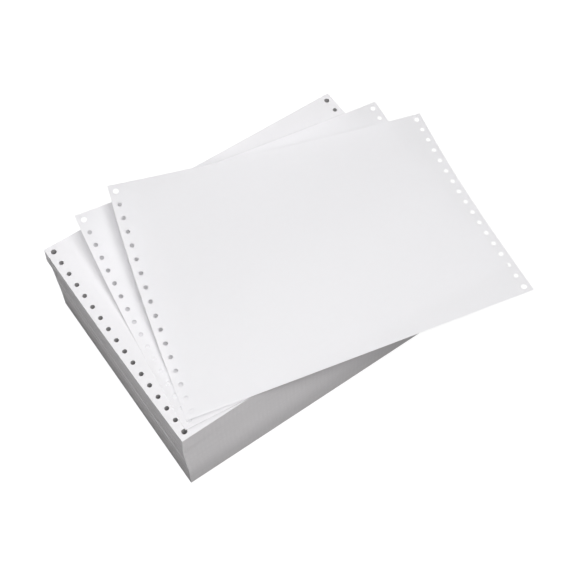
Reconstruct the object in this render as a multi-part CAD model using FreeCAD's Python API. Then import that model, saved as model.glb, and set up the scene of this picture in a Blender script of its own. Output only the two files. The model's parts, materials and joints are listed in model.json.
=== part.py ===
import FreeCAD, Part

import math
import os

from FreeCAD import Vector

# Stack of continuous form paper: a fan-folded pack with two loose forms fanned out on top of it.
# Millimetres, +Z up. X runs along the folds, Y along the direction in which the paper feeds.
# The origin lies on the table, straight under the centre of the pack's uppermost form.

# The form, one page of the web from fold to fold
FORM_WIDTH = 304.8           # 12 in, between the two cut edges
FORM_LENGTH = 215.9          # 8.5 in, from fold to fold
PAPER = 0.1                  # thickness of one form

# The feed holes, a row along each cut edge
HOLE_PITCH = 12.7            # half an inch, so a tractor's pins can drive any form
HOLE_MARGIN = 6.0            # from a cut edge to the centres of its row
HOLE_DIAMETER = 4.0
END_HOLE_DIAMETER = 4.8      # the holes beside the folds are punched larger

# The pack
PACK_HEIGHT = 82.5           # halfway between the folds, where the forms lie tight
FRONT_FOLD_RISE = 3.4        # the folds don't close flat, so each folded end stands higher
BACK_FOLD_RISE = 8.0
LEAVES = 36                  # zigzag leaves, each of them a bundle of about twenty forms
FOLD_DEPTH = 0.7             # how far the valley between two folds reaches in
EDGE_DEPTH = 0.3             # the shallower groove between two leaves on a cut side

# How the pack has slid since it was folded, as rows of (share of the height, shift along X,
# shift along Y, turn in degrees)
SLIDE = (
    (0.00, 1.9, -0.8, -0.55),
    (0.20, 2.0, -0.5, -0.50),
    (0.50, 1.2, 0.0, -0.60),
    (0.70, 0.6, 0.0, -0.60),
    (0.82, -0.7, 0.0, -0.10),
    (1.00, 0.0, 0.0, 0.00),
)

# The two loose forms. A corner is measured in plan from the pack's front left corner, and a tilt
# is a rise per millimetre. A bend is (heading of its line in degrees, radius, distance of its line
# from the form's centre), and a negative radius bends the paper down.
SEAT = 0.6                   # clearance at the point where a form touches what it lies on
MIDDLE_CORNER_X = 7.3
MIDDLE_CORNER_Y = 6.5
MIDDLE_TURN = -6.8
MIDDLE_TILT_X = 0.001
MIDDLE_TILT_Y = -0.089
MIDDLE_BENDS = (
    (6.8, 1200.0, -FORM_LENGTH / 2),     # follows the pack's trough
    (12.4, 300.0, -8.0),                 # curls up
    (1.0, -380.0, 24.0),                 # and runs out flatter
)

TOP_CORNER_X = 12.3
TOP_CORNER_Y = 12.5
TOP_TURN = -14.0
TOP_TILT_X = 0.001
TOP_TILT_Y = -0.107
TOP_BENDS = (
    (14.0, 1030.0, -FORM_LENGTH / 2),    # as the middle form, trough, curl and run-out
    (23.3, 343.0, -36.5),
    (6.6, -361.0, 23.0),
)

GRID_STEP = 40.0             # spacing of the points that a curled form is drawn through
SETTLE_STEP = 5.0            # spacing of the points at which a form feels for what is under it
PUNCH_REACH = 2.0            # how far a punch stands out past both faces of the paper
PUNCH_FLATS = 10             # sides of a hole that no post has to fit


def feed_holes():
    """The feed holes of one form about its centre: x, y, diameter and whether it is an end hole."""
    count = round(FORM_LENGTH / HOLE_PITCH)
    column = FORM_WIDTH / 2 - HOLE_MARGIN
    holes = []
    for index in range(count):
        y = (index - (count - 1) / 2) * HOLE_PITCH
        is_end = index in (0, count - 1)
        diameter = END_HOLE_DIAMETER if is_end else HOLE_DIAMETER
        holes += [(side * column, y, diameter, is_end) for side in (-1, 1)]
    return holes


def punch(foot, axis, diameter, length):
    """A hole with flats, for the many that need only look round."""
    rim = Part.makeCircle(diameter / 2, foot, axis).discretize(PUNCH_FLATS + 1)
    return Part.Face(Part.makePolygon(rim)).extrude(axis * length)


# ---- the fan-folded pack ----

def bed_height(y):
    """Height of the pack's top: a shallow trough that rises to the folds at both ends."""
    reach = 2 * y / FORM_LENGTH
    lean = (BACK_FOLD_RISE - FRONT_FOLD_RISE) / 2
    hollow = (BACK_FOLD_RISE + FRONT_FOLD_RISE) / 2
    return PACK_HEIGHT + lean * reach + hollow * reach**2


def slide_at(share):
    """Shift along X, shift along Y and turn of the forms at this share of the pack's height."""
    for (low, *here), (high, *there) in zip(SLIDE, SLIDE[1:]):
        if share <= high:
            part = (share - low) / (high - low)
            ease = part * part * (3 - 2 * part)
            return [a + ease * (b - a) for a, b in zip(here, there)]
    return SLIDE[-1][1:]


def slid(x, y, z, share):
    """A point of a form, moved with the forms at its share of the height."""
    shift_x, shift_y, turn = slide_at(share)
    angle = math.radians(turn)
    cos, sin = math.cos(angle), math.sin(angle)
    return Vector(cos * x - sin * y + shift_x, sin * x + cos * y + shift_y, z)


def cut_edge(x, start, end, share):
    """A form's cut edge between two folds: a parabola that sags with the layers below it."""
    middle = (start + end) / 2
    sag_pole = 2 * bed_height(middle) - (bed_height(start) + bed_height(end)) / 2
    curve = Part.BezierCurve()
    curve.setPoles([
        slid(x, start, share * bed_height(start), share),
        slid(x, middle, share * sag_pole, share),
        slid(x, end, share * bed_height(end), share),
    ])
    return curve.toShape()


def leaf_outline(index):
    """The boundary under leaf number index: front fold, right edge, back fold, left edge."""
    share = index / LEAVES
    outermost = index in (0, LEAVES)
    odd = index % 2 == 1
    front = -FORM_LENGTH / 2 + (FOLD_DEPTH if odd and not outermost else 0)
    back = FORM_LENGTH / 2 - (FOLD_DEPTH if not odd and not outermost else 0)
    side = FORM_WIDTH / 2 - (EDGE_DEPTH if odd and not outermost else 0)
    right = cut_edge(side, front, back, share)
    left = cut_edge(-side, front, back, share)
    front_fold = Part.makeLine(left.firstVertex().Point, right.firstVertex().Point)
    back_fold = Part.makeLine(left.lastVertex().Point, right.lastVertex().Point)
    return front_fold, right, back_fold, left


def feed_bore(x, y, diameter, is_end):
    """One feed hole straight down through every form, truly round where a binding post fits."""
    foot = Vector(x, y, -PUNCH_REACH)
    length = bed_height(y) + 2 * PUNCH_REACH
    if is_end:
        return Part.makeCylinder(diameter / 2, length, foot)
    return punch(foot, Vector(0, 0, 1), diameter, length)


def form_pack():
    """All folded forms as one solid, with a ridge at each fold and the feed holes through it."""
    outlines = [leaf_outline(index) for index in range(LEAVES + 1)]
    faces = [Part.Face(Part.Wire(outlines[0]))]
    for lower, upper in zip(outlines, outlines[1:]):
        faces += [Part.makeRuledSurface(below, above) for below, above in zip(lower, upper)]
    right, left = outlines[-1][1], outlines[-1][3]
    faces.append(Part.makeRuledSurface(left, right))
    shell = Part.makeShell(faces)
    shell.sewShape()
    block = Part.makeSolid(shell)
    if block.Volume < 0:
        block.reverse()
    return block.cut([feed_bore(*hole) for hole in feed_holes()])


# ---- the loose forms ----

def bend(point, heading, radius, start):
    """Roll what lies past a straight line of the sheet up an arc, keeping the paper's length."""
    u, v, z = point
    angle = math.radians(heading)
    across, along = -math.sin(angle), math.cos(angle)
    past = max(0.0, u * across + v * along - start)
    turn = past / radius
    drawn_in = radius * math.sin(turn) - past
    rise = radius * (1 - math.cos(turn))
    return u + drawn_in * across, v + drawn_in * along, z + rise


def spread(length, step):
    """Evenly spaced values about one step apart, over a length centred on zero."""
    count = max(2, round(length / step))
    return [length * (index / count - 0.5) for index in range(count + 1)]


class LooseForm:
    """One form that lies skewed on the stack and curls up away from it."""

    def __init__(self, corner, turn, tilt, bends):
        self.corner = corner
        self.turn = math.radians(turn)
        self.tilt = tilt
        self.bends = bends
        self.height = 0.0

    def point(self, u, v):
        """Where the point at u, v of the flat form lies, at its underside."""
        z = 0.0
        for heading, radius, start in self.bends:
            u, v, z = bend((u, v, z), heading, radius, start)
        u += FORM_WIDTH / 2
        v += FORM_LENGTH / 2
        cos, sin = math.cos(self.turn), math.sin(self.turn)
        x = cos * u - sin * v - FORM_WIDTH / 2 + self.corner[0]
        y = sin * u + cos * v - FORM_LENGTH / 2 + self.corner[1]
        return Vector(x, y, z + self.tilt[0] * x + self.tilt[1] * y + self.height)

    def normal(self, u, v):
        """The direction square to the paper at u, v."""
        along_u = self.point(u + 1, v) - self.point(u - 1, v)
        along_v = self.point(u, v + 1) - self.point(u, v - 1)
        return along_u.cross(along_v).normalize()

    def top_at(self, x, y):
        """Height of the upper face over a point of the plan, or None past the form's edges."""
        u, v = 0.0, 0.0
        cos, sin = math.cos(self.turn), math.sin(self.turn)
        for _ in range(5):
            here = self.point(u, v)
            miss_x, miss_y = x - here.x, y - here.y
            u += cos * miss_x + sin * miss_y
            v += cos * miss_y - sin * miss_x
        if abs(u) > FORM_WIDTH / 2 or abs(v) > FORM_LENGTH / 2:
            return None
        return self.point(u, v).z + PAPER

    def settle(self, heights_below):
        """Let the form down until it touches the highest thing under it."""
        gaps = []
        for u in spread(FORM_WIDTH, SETTLE_STEP):
            for v in spread(FORM_LENGTH, SETTLE_STEP):
                here = self.point(u, v)
                below = [height(here.x, here.y) for height in heights_below]
                gaps += [here.z - z for z in below if z is not None]
        self.height = SEAT - min(gaps)

    def solid(self):
        """The curled paper with its feed holes punched square to it."""
        across, along = spread(FORM_WIDTH, GRID_STEP), spread(FORM_LENGTH, GRID_STEP)
        points = [[self.point(u, v) for v in along] for u in across]
        surface = Part.BSplineSurface()
        surface.interpolate(points)
        paper = surface.toShape().extrude(Vector(0, 0, PAPER))
        punches = []
        for u, v, diameter, is_end in feed_holes():
            axis = self.normal(u, v)
            foot = self.point(u, v) - axis * PUNCH_REACH
            punches.append(punch(foot, axis, diameter, 2 * PUNCH_REACH))
        return paper.cut(punches)


def pack_top_at(x, y):
    """Height of the pack's top over a point of the plan, or None beside the pack."""
    if abs(x) > FORM_WIDTH / 2 or abs(y) > FORM_LENGTH / 2:
        return None
    return bed_height(y)


def loose_forms():
    """The middle form, which lies on the pack, and the top form, which lies on both."""
    middle = LooseForm(
        corner=(MIDDLE_CORNER_X, MIDDLE_CORNER_Y),
        turn=MIDDLE_TURN,
        tilt=(MIDDLE_TILT_X, MIDDLE_TILT_Y),
        bends=MIDDLE_BENDS,
    )
    middle.settle([pack_top_at])
    top = LooseForm(
        corner=(TOP_CORNER_X, TOP_CORNER_Y),
        turn=TOP_TURN,
        tilt=(TOP_TILT_X, TOP_TILT_Y),
        bends=TOP_BENDS,
    )
    top.settle([pack_top_at, middle.top_at])
    return middle, top


def main():
    middle, top = loose_forms()
    nodes = {
        "form_pack": form_pack(),
        "middle_form": middle.solid(),
        "top_form": top.solid(),
    }
    os.makedirs("parts", exist_ok=True)
    for name, shape in nodes.items():
        shape.exportStep("parts/%s.step" % name)
        print(name, shape.isValid(), len(shape.Solids), round(shape.Volume, 1), shape.BoundBox)


main()
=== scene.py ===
import json
import math

import bpy
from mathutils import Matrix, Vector
from mathutils.bvhtree import BVHTree


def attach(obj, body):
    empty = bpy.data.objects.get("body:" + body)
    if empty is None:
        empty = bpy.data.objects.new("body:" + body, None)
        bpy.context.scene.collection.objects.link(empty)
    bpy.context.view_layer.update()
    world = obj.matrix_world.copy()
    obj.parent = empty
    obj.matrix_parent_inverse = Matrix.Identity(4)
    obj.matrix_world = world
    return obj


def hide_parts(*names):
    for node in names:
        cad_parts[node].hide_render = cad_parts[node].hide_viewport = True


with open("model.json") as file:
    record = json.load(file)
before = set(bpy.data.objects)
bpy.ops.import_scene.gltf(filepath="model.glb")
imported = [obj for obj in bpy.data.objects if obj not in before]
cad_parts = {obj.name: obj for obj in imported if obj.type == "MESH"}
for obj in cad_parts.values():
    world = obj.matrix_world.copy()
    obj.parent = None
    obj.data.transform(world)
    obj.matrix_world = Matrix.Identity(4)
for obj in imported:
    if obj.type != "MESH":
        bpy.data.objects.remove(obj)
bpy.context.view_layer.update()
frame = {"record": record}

# The form, its feed holes and its surface
FORM_WIDTH = 0.3048          # between the two cut edges
FORM_LENGTH = 0.2159         # from fold to fold
PAPER = 0.0001               # thickness of one form
CLEARANCE = 0.0002           # between a loose form and what it lies on
HOLE_PITCH = 0.0127
HOLE_RADIUS = 0.0020
HOLE_SIDES = 40              # facets round a feed hole
TIE_PITCH = 0.00397          # from one tie of the perforation at a fold to the next
FACE_TOOTH = 0.00003         # depth of the paper's fibrous surface on a face
EDGE_TOOTH = 0.00005         # and on a side of the pack
STREAK_STEP = 0.005          # how far the streaks along the sides change from form to form
COLUMN_STEP = 0.00002        # and the upright streaks on the folds

# The pack
PACK_HEIGHT = 0.0825         # halfway between the folds, where the forms lie tight
FRONT_FOLD_RISE = 0.0034     # how much higher the folded ends stand
BACK_FOLD_RISE = 0.0080
FORMS = round(PACK_HEIGHT / PAPER)
SLIDE = (                    # share of the height, shift along X, shift along Y, turn in degrees
    (0.00, 0.0019, -0.0008, -0.55),
    (0.20, 0.0020, -0.0005, -0.50),
    (0.50, 0.0012, 0.0000, -0.60),
    (0.70, 0.0006, 0.0000, -0.60),
    (0.82, -0.0007, 0.0000, -0.10),
    (1.00, 0.0000, 0.0000, 0.00),
)
FOLD_VALLEY = 0.00025        # how far the valley between two folds reaches in
EDGE_MARGIN = 0.00022        # the other forms stay this far inside the two outermost
BUNDLES = 24.0               # about how many bundles of forms lie shifted alike
BUNDLE_SHIFT = 0.00014       # sideways shift that the forms of a bundle share
FORM_SHIFT = 0.00007         # sideways shift of each form by itself
FOOT_SHADE_SHARE = 0.45            # share of the height over which painted shade darkens the sides towards the floor

# The lie of the two loose forms: how far the near left corner lies from the pack's, how far the
# form is turned about it, and how it leans. Each bend rolls what lies past a straight line of the
# form up an arc, or down one if the radius is negative: heading and radius of the arc, and how far
# from the form's centre it starts.
LIP_WIDTH = 0.008            # of the strip along the front edge where the old fold still shows
MIDDLE_FORM = {
    "Corner": (0.0073, 0.0065, 0.0),
    "Turn": math.radians(-6.8),
    "Lean": (0.001, -0.089, 0.0),
    "Lip": (math.pi, 0.045, FORM_LENGTH / 2 - LIP_WIDTH),
    "Sag": (math.radians(6.8), 1.200, -FORM_LENGTH / 2),
    "Curl": (math.radians(12.4), 0.300, -0.008),
    "Ease": (math.radians(1.0), -0.380, 0.024),
}
TOP_FORM = {
    "Corner": (0.0123, 0.0125, 0.0),
    "Turn": math.radians(-14.0),
    "Lean": (0.001, -0.107, 0.0),
    "Lip": (math.pi, 0.120, FORM_LENGTH / 2 - LIP_WIDTH),
    "Sag": (math.radians(14.0), 1.030, -FORM_LENGTH / 2),
    "Curl": (math.radians(23.3), 0.343, -0.0365),
    "Ease": (math.radians(6.6), -0.361, 0.023),
}

# The floor's paint as bounced light meets it and as it is seen, and the glow that keeps it pale
FLOOR_BOUNCE = (0.06, 0.06, 0.06, 1.0)
FLOOR_SHADE = (0.14, 0.14, 0.14, 1.0)
FLOOR_GLOW = (0.96, 0.96, 0.96, 1.0)

# The lamps: name, width, power in watts and place
LAMPS = (
    ("overhead", 1.0, 6.3, (0.0, 0.0, 1.5)),
    ("front", 0.8, 14.4, (0.0, -0.9, 1.35)),
    ("left", 0.8, 5.8, (-0.9, 0.0, 1.35)),
    ("right", 0.8, 1.1, (1.4, 0.0, 0.35)),
    ("back", 0.8, 9.5, (0.0, 1.5, 0.9)),
    ("near_back", 0.5, 1.6, (0.0, 0.45, 1.0)),
)
LAMP_AIM = (0.0, 0.0, 0.05)


# ---- writing node trees ----

def add(tree, kind, inputs=None, **settings):
    """A new node with its settings made and its inputs fed by values or by other nodes' outputs."""
    node = tree.nodes.new(kind)
    for name, value in settings.items():
        setattr(node, name, value)
    for key, value in (inputs or {}).items():
        if isinstance(value, bpy.types.NodeSocket):
            tree.links.new(value, node.inputs[key])
        else:
            node.inputs[key].default_value = value
    return node


def calc(tree, operation, *values):
    """The result of a Math node."""
    return add(tree, "ShaderNodeMath", dict(enumerate(values)), operation=operation).outputs[0]


def vector(tree, x=0.0, y=0.0, z=0.0):
    """Three numbers joined into a vector."""
    return add(tree, "ShaderNodeCombineXYZ", {0: x, 1: y, 2: z}).outputs[0]


def parts_of(tree, value):
    """The three numbers of a vector."""
    return add(tree, "ShaderNodeSeparateXYZ", {0: value}).outputs


def vector_sum(tree, *values):
    """Vectors added up."""
    total = values[0]
    for value in values[1:]:
        total = add(tree, "ShaderNodeVectorMath", {0: total, 1: value}, operation="ADD").outputs[0]
    return total


def dot(tree, one, other):
    """The dot product of two vectors."""
    node = add(tree, "ShaderNodeVectorMath", {0: one, 1: other}, operation="DOT_PRODUCT")
    return node.outputs["Value"]


def new_tree(name, kind, inputs, outputs):
    """A node group with named inputs (name: socket kind, start value) and outputs (name: kind)."""
    tree = bpy.data.node_groups.new(name, kind)
    for label, (socket, value) in inputs.items():
        made = tree.interface.new_socket(label, in_out="INPUT", socket_type="NodeSocket" + socket)
        if value is not None:
            made.default_value = value
    for label, socket in outputs.items():
        tree.interface.new_socket(label, in_out="OUTPUT", socket_type="NodeSocket" + socket)
    return tree, tree.nodes.new("NodeGroupInput").outputs, tree.nodes.new("NodeGroupOutput").inputs


def grow(name, tree, values):
    """The plain mesh object that a geometry tree makes from these input values."""
    piece = bpy.data.objects.new(name, bpy.data.meshes.new(name))
    bpy.context.scene.collection.objects.link(piece)
    modifier = piece.modifiers.new(name, "NODES")
    modifier.node_group = tree
    for item in tree.interface.items_tree:
        if item.in_out == "INPUT" and item.name in values:
            modifier[item.identifier] = values[item.name]
    evaluated = piece.evaluated_get(bpy.context.evaluated_depsgraph_get())
    mesh = bpy.data.meshes.new_from_object(evaluated)
    piece.modifiers.remove(modifier)
    if mesh.materials[0] is None:  # the slot of the plain block that the tree starts from
        mesh.materials.pop(index=0)
    piece.data = mesh
    return piece


# ---- shapes ----

def punch_tree():
    """Cuts the feed holes, a row along each side, straight down through what it is given."""
    mounts = {mount["name"]: mount["dims"] for mount in frame["record"]["mounts"]}
    posts = mounts["binding_post_holes"]
    row_gap, row_length = posts["spacing_x_mm"] / 1000, posts["spacing_y_mm"] / 1000
    end_hole = posts["hole_r_mm"] / 1000 / HOLE_RADIUS
    tree, given, result = new_tree("Punch feed holes", "GeometryNodeTree", {
        "Paper": ("Geometry", None),
        "Depth": ("Float", 0.01),
        "Wall": ("Material", None),
    }, {"Paper": "Geometry"})
    centres = add(tree, "GeometryNodeMeshGrid", {
        "Size X": row_gap,
        "Size Y": row_length,
        "Vertices X": 2,
        "Vertices Y": round(row_length / HOLE_PITCH) + 1,
    })
    along = parts_of(tree, add(tree, "GeometryNodeInputPosition").outputs[0])[1]
    from_middle = calc(tree, "ABSOLUTE", along)
    is_end = calc(tree, "GREATER_THAN", from_middle, (row_length - HOLE_PITCH) / 2)
    wider = calc(tree, "MULTIPLY_ADD", is_end, end_hole - 1, 1.0)
    pin = add(tree, "GeometryNodeMeshCylinder", {
        "Vertices": HOLE_SIDES,
        "Radius": HOLE_RADIUS,
        "Depth": given["Depth"],
    })
    walled = add(tree, "GeometryNodeSetMaterial", {
        "Geometry": pin.outputs["Mesh"],
        "Material": given["Wall"],
    })
    pins = add(tree, "GeometryNodeInstanceOnPoints", {
        "Points": centres.outputs["Mesh"],
        "Instance": walled.outputs[0],
        "Scale": vector(tree, wider, wider, 1.0),
    })
    loose_pins = add(tree, "GeometryNodeRealizeInstances", {0: pins.outputs[0]})
    cut = add(tree, "GeometryNodeMeshBoolean", {
        "Mesh 1": given["Paper"],
        "Mesh 2": loose_pins.outputs[0],
    }, operation="DIFFERENCE", solver="MANIFOLD")
    tree.links.new(cut.outputs["Mesh"], result["Paper"])
    return tree


def bend_tree():
    """Rolls what lies past a straight line of the sheet up an arc, keeping the paper's length."""
    tree, given, result = new_tree("Bend", "GeometryNodeTree", {
        "Paper": ("Geometry", None),
        "Heading Radius Start": ("Vector", (0.0, 1.0, 0.0)),
    }, {"Paper": "Geometry"})
    heading, radius, start = parts_of(tree, given["Heading Radius Start"])
    aside = calc(tree, "MULTIPLY", calc(tree, "SINE", heading), -1.0)
    across = vector(tree, aside, calc(tree, "COSINE", heading))
    place = add(tree, "GeometryNodeInputPosition").outputs[0]
    reach = calc(tree, "SUBTRACT", dot(tree, place, across), start)
    past = calc(tree, "MAXIMUM", reach, 0.0)
    turn = calc(tree, "DIVIDE", past, radius)
    arc = calc(tree, "MULTIPLY", radius, calc(tree, "SINE", turn))
    flat_share = calc(tree, "SUBTRACT", 1.0, calc(tree, "COSINE", turn))
    rise = calc(tree, "MULTIPLY", radius, flat_share)
    drawn_in = add(tree, "ShaderNodeVectorMath", {
        0: across,
        "Scale": calc(tree, "SUBTRACT", arc, past),
    }, operation="SCALE").outputs[0]
    moved = add(tree, "GeometryNodeSetPosition", {
        "Geometry": given["Paper"],
        "Offset": vector_sum(tree, drawn_in, vector(tree, z=rise)),
    })
    tree.links.new(moved.outputs[0], result["Paper"])
    return tree


def crisp_tree():
    """Shades paper smooth, apart from the edges that turn sharply."""
    tree, given, result = new_tree("Crisp edges", "GeometryNodeTree", {
        "Paper": ("Geometry", None),
        "Limit": ("Float", math.radians(30)),
    }, {"Paper": "Geometry"})
    smooth = add(tree, "GeometryNodeSetShadeSmooth", {0: given["Paper"], "Shade Smooth": True})
    turn = add(tree, "GeometryNodeInputMeshEdgeAngle").outputs["Unsigned Angle"]
    crisp = add(tree, "GeometryNodeSetShadeSmooth", {
        0: smooth.outputs[0],
        "Selection": calc(tree, "GREATER_THAN", turn, given["Limit"]),
        "Shade Smooth": False,
    }, domain="EDGE")
    tree.links.new(crisp.outputs[0], result["Paper"])
    return tree


def loose_form_tree(punch, bend, crisp):
    """A loose form: a punched sheet that is bent, turned about its near left corner and leant."""
    tree, given, result = new_tree("Loose form", "GeometryNodeTree", {
        "Corner": ("Vector", (0.0, 0.0, 0.0)),
        "Turn": ("Float", 0.0),
        "Lean": ("Vector", (0.0, 0.0, 0.0)),
        "Lip": ("Vector", (0.0, 1.0, 0.0)),
        "Sag": ("Vector", (0.0, 1.0, 0.0)),
        "Curl": ("Vector", (0.0, 1.0, 0.0)),
        "Ease": ("Vector", (0.0, 1.0, 0.0)),
        "Columns": ("Int", 78),
        "Rows": ("Int", 80),
        "Finish": ("Material", None),
    }, {"Form": "Geometry"})
    sheet = add(tree, "GeometryNodeMeshCube", {
        "Size": (FORM_WIDTH, FORM_LENGTH, PAPER),
        "Vertices X": given["Columns"],
        "Vertices Y": given["Rows"],
        "Vertices Z": 2,
    })
    punched = add(tree, "GeometryNodeGroup", {"Paper": sheet.outputs["Mesh"]}, node_tree=punch)
    paper = punched.outputs[0]
    for name in ("Lip", "Sag", "Curl", "Ease"):
        paper = add(tree, "GeometryNodeGroup", {
            "Paper": paper,
            "Heading Radius Start": given[name],
        }, node_tree=bend).outputs[0]
    turned = add(tree, "ShaderNodeVectorRotate", {
        "Vector": add(tree, "GeometryNodeInputPosition").outputs[0],
        "Center": (-FORM_WIDTH / 2, -FORM_LENGTH / 2, 0.0),
        "Angle": given["Turn"],
    }, rotation_type="Z_AXIS")
    placed = vector_sum(tree, turned.outputs[0], given["Corner"])
    lift = vector(tree, z=dot(tree, placed, given["Lean"]))
    laid = add(tree, "GeometryNodeSetPosition", {
        "Geometry": paper,
        "Position": vector_sum(tree, placed, lift),
    })
    finished = add(tree, "GeometryNodeGroup", {"Paper": laid.outputs[0]}, node_tree=crisp)
    realized = add(tree, "GeometryNodeRealizeInstances", {0: finished.outputs[0]})
    coloured = add(tree, "GeometryNodeSetMaterial", {
        "Geometry": realized.outputs[0],
        "Material": given["Finish"],
    })
    tree.links.new(coloured.outputs[0], result["Form"])
    return tree


def bed_height(tree, y):
    """Height of the pack's top: a shallow trough that rises to the folds at both ends."""
    reach = calc(tree, "MULTIPLY", y, 2 / FORM_LENGTH)
    leaning = calc(tree, "MULTIPLY_ADD", reach, (BACK_FOLD_RISE - FRONT_FOLD_RISE) / 2, PACK_HEIGHT)
    square = calc(tree, "MULTIPLY", reach, reach)
    return calc(tree, "MULTIPLY_ADD", square, (BACK_FOLD_RISE + FRONT_FOLD_RISE) / 2, leaning)


def slide_at(tree, share):
    """Shift along X and Y and turn in degrees of the forms at this share of the height."""
    moves = list(SLIDE[0][1:])
    for (low, *here), (high, *there) in zip(SLIDE, SLIDE[1:]):
        eased = add(tree, "ShaderNodeMapRange", {
            "Value": share,
            "From Min": low,
            "From Max": high,
        }, interpolation_type="SMOOTHSTEP").outputs[0]
        for i, (a, b) in enumerate(zip(here, there)):
            moves[i] = calc(tree, "MULTIPLY_ADD", eased, b - a, moves[i])
    return moves


def scatter(tree, index, seed):
    """A number from -1 to 1 of each form's own."""
    return add(tree, "FunctionNodeRandomValue", {
        2: -1.0,
        3: 1.0,
        "ID": index,
        "Seed": seed,
    }, data_type="FLOAT").outputs[1]


def pack_tree(punch, crisp):
    """The fan-folded pack: every form is a layer of the block, with a fold at one end or the other."""
    tree, given, result = new_tree("Fan-folded pack", "GeometryNodeTree", {
        "Forms": ("Int", FORMS),
        "Columns": ("Int", 13),
        "Rows": ("Int", 28),
        "Side Seed": ("Int", 4),
        "Fold Seed": ("Int", 77),
        "Face": ("Material", None),
        "Cut Edges": ("Material", None),
        "Folds": ("Material", None),
        "Holes": ("Material", None),
    }, {"Pack": "Geometry"})
    block = add(tree, "GeometryNodeMeshCube", {
        "Size": (FORM_WIDTH, FORM_LENGTH, 1.0),
        "Vertices X": given["Columns"],
        "Vertices Y": given["Rows"],
        "Vertices Z": calc(tree, "ADD", given["Forms"], 1.0),
    })
    surface = block.outputs["Mesh"]
    facing = parts_of(tree, add(tree, "GeometryNodeInputNormal").outputs[0])
    sides = {"Face": facing[2], "Cut Edges": facing[0], "Folds": facing[1]}
    for name, direction in sides.items():
        toward = calc(tree, "GREATER_THAN", calc(tree, "ABSOLUTE", direction), 0.5)
        surface = add(tree, "GeometryNodeSetMaterial", {
            "Geometry": surface,
            "Selection": toward,
            "Material": given[name],
        }).outputs[0]

    x, y, middle_share = parts_of(tree, add(tree, "GeometryNodeInputPosition").outputs[0])
    share = calc(tree, "ADD", middle_share, 0.5)
    level = calc(tree, "MULTIPLY", share, given["Forms"])
    index = calc(tree, "ROUND", level)
    odd = calc(tree, "FLOORED_MODULO", index, 2.0)
    above_first = calc(tree, "GREATER_THAN", level, 0.5)
    below_last = calc(tree, "LESS_THAN", level, calc(tree, "SUBTRACT", given["Forms"], 0.5))
    inner = calc(tree, "MULTIPLY", above_first, below_last)
    surface = add(tree, "GeometryNodeStoreNamedAttribute", {
        "Geometry": surface,
        "Name": "place_in_pack",
        "Value": vector(tree, x, y, level),
    }, data_type="FLOAT_VECTOR").outputs[0]

    bundle = add(tree, "ShaderNodeTexNoise", {
        "W": share,
        "Scale": BUNDLES,
        "Detail": 4.0,
    }, noise_dimensions="1D").outputs[0]
    shared = calc(tree, "MULTIPLY_ADD", bundle, 2 * BUNDLE_SHIFT, -BUNDLE_SHIFT)
    own = calc(tree, "MULTIPLY", scatter(tree, index, given["Side Seed"]), FORM_SHIFT)
    aside = calc(tree, "ADD", shared, own)
    change = calc(tree, "MULTIPLY_ADD", x, -2 * EDGE_MARGIN / FORM_WIDTH, aside)
    x = calc(tree, "MULTIPLY_ADD", change, inner, x)

    at_back = calc(tree, "GREATER_THAN", y, 0.0)
    even = calc(tree, "SUBTRACT", 1.0, odd)
    is_valley = add(tree, "ShaderNodeMix", {0: at_back, 2: odd, 3: even}).outputs[0]
    uneven = scatter(tree, index, given["Fold Seed"])
    unevenness = calc(tree, "MULTIPLY_ADD", uneven, FORM_SHIFT / 2, FORM_SHIFT / 2)
    inset = calc(tree, "MULTIPLY_ADD", is_valley, FOLD_VALLEY, unevenness)
    shortening = calc(tree, "MULTIPLY", calc(tree, "MULTIPLY", inset, inner), -2 / FORM_LENGTH)
    y = calc(tree, "MULTIPLY_ADD", y, shortening, y)

    z = calc(tree, "MULTIPLY", share, bed_height(tree, y))
    shift_x, shift_y, turn = slide_at(tree, share)
    turned = add(tree, "ShaderNodeVectorRotate", {
        "Vector": vector(tree, x, y, z),
        "Angle": calc(tree, "RADIANS", turn),
    }, rotation_type="Z_AXIS")
    slid = add(tree, "GeometryNodeSetPosition", {
        "Geometry": surface,
        "Position": vector_sum(tree, turned.outputs[0], vector(tree, shift_x, shift_y)),
    })
    punched = add(tree, "GeometryNodeGroup", {
        "Paper": slid.outputs[0],
        "Depth": 3 * PACK_HEIGHT,
        "Wall": given["Holes"],
    }, node_tree=punch)
    finished = add(tree, "GeometryNodeGroup", {"Paper": punched.outputs[0]}, node_tree=crisp)
    realized = add(tree, "GeometryNodeRealizeInstances", {0: finished.outputs[0]})
    tree.links.new(realized.outputs[0], result["Pack"])
    return tree


# ---- finishes ----

def paper_grain_group():
    """The cloudy formation and the fibrous tooth of uncoated paper."""
    tree, given, result = new_tree("Paper grain", "ShaderNodeTree", {
        "Place": ("Vector", (0.0, 0.0, 0.0)),
        "Cloudiness": ("Float", 0.02),
        "Cloud Size": ("Float", 0.004),
        "Fibre Size": ("Float", 0.0005),
    }, {"Shade": "Float", "Tooth": "Float"})
    clouds = add(tree, "ShaderNodeTexNoise", {
        "Vector": given["Place"],
        "Scale": calc(tree, "DIVIDE", 1.0, given["Cloud Size"]),
        "Detail": 3.0,
    }).outputs[0]
    centred = calc(tree, "SUBTRACT", clouds, 0.5)
    shade = calc(tree, "MULTIPLY_ADD", centred, given["Cloudiness"], 1.0)
    fibre_scale = calc(tree, "DIVIDE", 1.0, given["Fibre Size"])
    fibres = []
    for stretch in ((1.0, 0.22, 1.0), (0.22, 1.0, 1.0)):
        place = add(tree, "ShaderNodeVectorMath", {
            0: given["Place"],
            1: stretch,
        }, operation="MULTIPLY").outputs[0]
        fibres.append(add(tree, "ShaderNodeTexNoise", {
            "Vector": place,
            "Scale": fibre_scale,
            "Detail": 2.0,
        }).outputs[0])
    tree.links.new(shade, result["Shade"])
    tree.links.new(calc(tree, "MAXIMUM", *fibres), result["Tooth"])
    return tree


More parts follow.
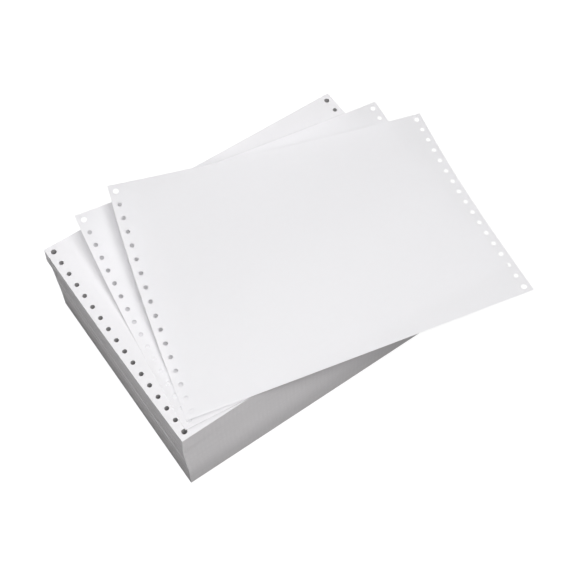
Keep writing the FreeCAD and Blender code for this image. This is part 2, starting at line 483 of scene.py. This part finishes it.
def tinted(tree, colour, *shades):
    """A paper colour, darkened by every one of the shades."""
    total = shades[0]
    for shade in shades[1:]:
        total = calc(tree, "MULTIPLY", total, shade)
    return add(tree, "ShaderNodeVectorMath", {
        0: colour,
        "Scale": total,
    }, operation="SCALE").outputs[0]


def new_material(name):
    """A material with its tree emptied, and its output node."""
    material = bpy.data.materials.new(name)
    material.use_nodes = True
    tree = material.node_tree
    tree.nodes.clear()
    return material, tree, tree.nodes.new("ShaderNodeOutputMaterial").inputs["Surface"]


def sheet_material(name, grain, colour, see_through):
    """The face of a form; see_through is the share of light that one of its two faces lets past."""
    material, tree, surface = new_material(name)
    place = add(tree, "ShaderNodeTexCoord").outputs["Object"]
    grained = add(tree, "ShaderNodeGroup", {"Place": place}, node_tree=grain)
    relief = add(tree, "ShaderNodeBump", {
        "Strength": 0.35,
        "Distance": FACE_TOOTH,
        "Height": grained.outputs["Tooth"],
    })
    tint = tinted(tree, colour, grained.outputs["Shade"])
    paper = add(tree, "ShaderNodeBsdfPrincipled", {
        "Base Color": tint,
        "Roughness": 0.9,
        "Specular IOR Level": 0.2,
        "Normal": relief.outputs[0],
    })
    if not see_through:
        tree.links.new(paper.outputs[0], surface)
        return material
    through = add(tree, "ShaderNodeBsdfTranslucent", {"Color": tint})
    mixed = add(tree, "ShaderNodeMixShader", {
        0: see_through,
        1: paper.outputs[0],
        2: through.outputs[0],
    })
    tree.links.new(mixed.outputs[0], surface)
    return material


def edge_material(name, grain, colour, forms, bundles, ties, foot_shade):
    """A side of the pack. Its shade varies by so much from form to form, from bundle to bundle of
    forms and between the ties of the perforation, which line up, plus painted shade towards the floor
    (foot_shade)."""
    material, tree, surface = new_material(name)
    place = add(tree, "ShaderNodeAttribute", attribute_name="place_in_pack").outputs["Vector"]
    x, y, level = parts_of(tree, place)
    each = add(tree, "ShaderNodeTexWhiteNoise", {
        "W": calc(tree, "FLOOR", level),
    }, noise_dimensions="1D").outputs[0]
    streaks = add(tree, "ShaderNodeTexNoise", {
        "Vector": vector(tree, x, y, calc(tree, "MULTIPLY", level, STREAK_STEP)),
        "Scale": 9.0,
        "Detail": 5.0,
        "Roughness": 0.6,
    }).outputs[0]
    columns = add(tree, "ShaderNodeTexNoise", {
        "Vector": vector(tree, x, 0.0, calc(tree, "MULTIPLY", level, COLUMN_STEP)),
        "Scale": 420.0,
        "Detail": 1.0,
    }).outputs[0]
    wave = calc(tree, "COSINE", calc(tree, "MULTIPLY", x, 2 * math.pi / TIE_PITCH))
    patches = add(tree, "ShaderNodeMapRange", {
        "Value": streaks,
        "From Min": 0.46,
        "From Max": 0.66,
    }).outputs[0]
    # Painted shade: the sides get darker towards the floor, by foot_shade at the bottom
    darkened = add(tree, "ShaderNodeMapRange", {
        "Value": level,
        "From Max": FOOT_SHADE_SHARE * FORMS,
        "To Min": 1 - foot_shade,
    }, interpolation_type="SMOOTHSTEP").outputs[0]
    shades = [
        calc(tree, "MULTIPLY_ADD", each, forms, 1 - forms / 2),
        # Bundle streaks: part tone of the paper, part painted shade of forms that lie further in
        calc(tree, "MULTIPLY_ADD", streaks, bundles, 1 - bundles / 2),
        calc(tree, "MULTIPLY_ADD", columns, 2 * ties, 1 - ties),
        calc(tree, "MULTIPLY_ADD", calc(tree, "MULTIPLY", wave, patches), ties, 1.0),
        darkened,
    ]
    grained = add(tree, "ShaderNodeGroup", {
        "Place": add(tree, "ShaderNodeTexCoord").outputs["Object"],
    }, node_tree=grain)
    relief = add(tree, "ShaderNodeBump", {
        "Strength": 0.5,
        "Distance": EDGE_TOOTH,
        "Height": grained.outputs["Tooth"],
    })
    paper = add(tree, "ShaderNodeBsdfPrincipled", {
        "Base Color": tinted(tree, colour, *shades),
        "Roughness": 0.95,
        "Specular IOR Level": 0.1,
        "Normal": relief.outputs[0],
    })
    tree.links.new(paper.outputs[0], surface)
    return material


# ---- the pieces ----

def settle(piece, *below):
    """Lets a loose form down until it almost touches one of the pieces below it."""
    down, start = Vector((0.0, 0.0, -1.0)), Vector((0.0, 0.0, 1.0))
    falls = []
    for bed in below:
        surface = BVHTree.FromPolygons(
            [vertex.co for vertex in bed.data.vertices],
            [face.vertices for face in bed.data.polygons],
        )
        hits = (surface.ray_cast(vertex.co + start, down) for vertex in piece.data.vertices)
        falls.extend(hit[3] for hit in hits if hit[0])
    drop = min(falls) - start.z - CLEARANCE
    for vertex in piece.data.vertices:
        vertex.co.z -= drop


def make_pieces():
    """The pack and the two loose forms, each in place of its node."""
    grain, punch, bend, crisp = paper_grain_group(), punch_tree(), bend_tree(), crisp_tree()
    loose_form = loose_form_tree(punch, bend, crisp)
    loose_paper = sheet_material("loose_forms", grain, (0.948, 0.944, 0.956), see_through=0.39)
    pack = grow("folded_forms", pack_tree(punch, crisp), {
        "Face": sheet_material("form_faces", grain, (0.725, 0.718, 0.733), see_through=0.0),
        # Painted light: the cut edges are coloured lighter than the faces of the same paper, to make
        # up for the dim light on the left side
        "Cut Edges": edge_material("cut_edges", grain, (0.905, 0.885, 0.897),
                                   forms=0.20, bundles=0.54, ties=0.0, foot_shade=0.24),
        # Painted shade: the folds are coloured a little darker, to offset the strong front lamp
        "Folds": edge_material("folds", grain, (0.700, 0.685, 0.694),
                               forms=0.04, bundles=0.10, ties=0.028, foot_shade=0.18),
        # Painted shade: the hole walls are the same paper as the edges, coloured dark to stand for the
        # shade deep in the holes
        "Holes": edge_material("hole_walls_painted_shade", grain, (0.460, 0.451, 0.456),
                               forms=0.14, bundles=0.30, ties=0.0, foot_shade=0.0),
    })
    middle = grow("middle_sheet", loose_form, MIDDLE_FORM | {"Finish": loose_paper})
    top = grow("top_sheet", loose_form, TOP_FORM | {"Finish": loose_paper})
    settle(middle, pack)
    settle(top, pack, middle)
    stand_ins = ((pack, "form_pack", "pack_paper"), (middle, "middle_form", "sheet_paper"),
                 (top, "top_form", "sheet_paper"))
    for piece, node, slot in stand_ins:
        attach(piece, "root")
        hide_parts(node)


# ---- the studio ----

def floor():
    """A plain pale floor, far wider than the stack."""
    half = 20.0
    mesh = bpy.data.meshes.new("floor")
    corners = [(-half, -half, 0), (half, -half, 0), (half, half, 0), (-half, half, 0)]
    mesh.from_pydata(corners, [], [(0, 1, 2, 3)])
    ground = bpy.data.objects.new("floor", mesh)
    bpy.context.scene.collection.objects.link(ground)
    material, tree, surface = new_material("floor_paint")
    seen = add(tree, "ShaderNodeLightPath").outputs["Is Camera Ray"]
    colour = add(tree, "ShaderNodeMix", {0: seen, 6: FLOOR_BOUNCE, 7: FLOOR_SHADE}, data_type="RGBA")
    paint = add(tree, "ShaderNodeBsdfDiffuse", {"Color": colour.outputs[2]})
    glow = add(tree, "ShaderNodeEmission", {
        "Color": FLOOR_GLOW,
        "Strength": seen,
    })
    both = add(tree, "ShaderNodeAddShader", {0: paint.outputs[0], 1: glow.outputs[0]})
    tree.links.new(both.outputs[0], surface)
    mesh.materials.append(material)


def softbox(name, size, power, place, aim):
    """A large square lamp at a place, pointing at aim."""
    lamp = bpy.data.lights.new(name, "AREA")
    lamp.shape = "SQUARE"
    lamp.size = size
    lamp.energy = power
    holder = bpy.data.objects.new(name, lamp)
    holder.location = place
    holder.rotation_euler = (Vector(aim) - Vector(place)).to_track_quat("-Z", "Y").to_euler()
    bpy.context.scene.collection.objects.link(holder)


def studio():
    """Soft lamps all round, strongest from the front, and a plain white surround."""
    for name, size, power, place in LAMPS:
        softbox(name, size, power, place, LAMP_AIM)
    world = bpy.data.worlds.new("surround")
    world.use_nodes = True
    tree = world.node_tree
    seen = add(tree, "ShaderNodeLightPath").outputs["Is Camera Ray"]
    tree.links.new(seen, tree.nodes["Background"].inputs["Strength"])
    tree.nodes["Background"].inputs["Color"].default_value = (1.0, 1.0, 1.0, 1.0)
    bpy.context.scene.world = world
    bpy.context.scene.view_settings.view_transform = "Standard"


def camera():
    """Looks down on the stack past its near left corner."""
    azimuth, elevation, distance = math.radians(-36.14), math.radians(56.5), 0.95338
    aim = Vector((0.030, 0.00653, 0.030))
    back = Vector((
        math.sin(azimuth) * math.cos(elevation),
        -math.cos(azimuth) * math.cos(elevation),
        math.sin(elevation),
    ))
    lens = bpy.data.cameras.new("camera")
    lens.lens = 65.12
    lens.sensor_width = 36.0
    lens.shift_x = 0.0025
    lens.shift_y = -0.0418
    lens.clip_start = 0.01
    eye = bpy.data.objects.new("camera", lens)
    eye.location = aim + distance * back
    eye.rotation_euler = (-back).to_track_quat("-Z", "Y").to_euler()
    bpy.context.scene.collection.objects.link(eye)
    bpy.context.scene.camera = eye


make_pieces()
floor()
studio()
camera()
